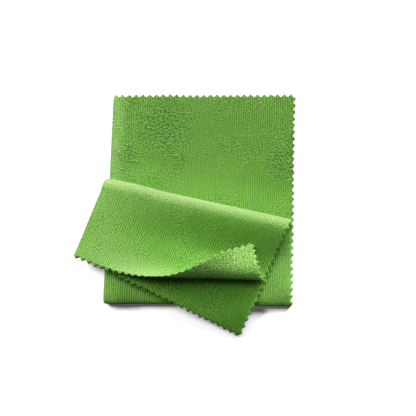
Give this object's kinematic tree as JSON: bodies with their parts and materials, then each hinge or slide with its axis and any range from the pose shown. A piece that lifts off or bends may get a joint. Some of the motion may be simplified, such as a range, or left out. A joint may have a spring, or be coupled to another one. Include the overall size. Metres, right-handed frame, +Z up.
{
  "type": "microfibre cleaning cloth",
  "caption": "Thin knitted cleaning cloth with pinked edges, folded in half, folded up, turned back down at a slant, with one corner curled over; for wiping and polishing.",
  "frame": {"origin": "centre of the folded cloth's bounding box, on the surface that it rests on", "axes": "+X to the right along the bottom fold, +Y away from the bottom fold to the loose back edge, +Z up"},
  "size_m": [0.208, 0.2338, 0.0417],
  "materials": {
    "microfibre": "soft matt knit with fine ribs"
  },
  "bodies": {
    "root": {"cloth": "microfibre"}
  },
  "joints": []
}
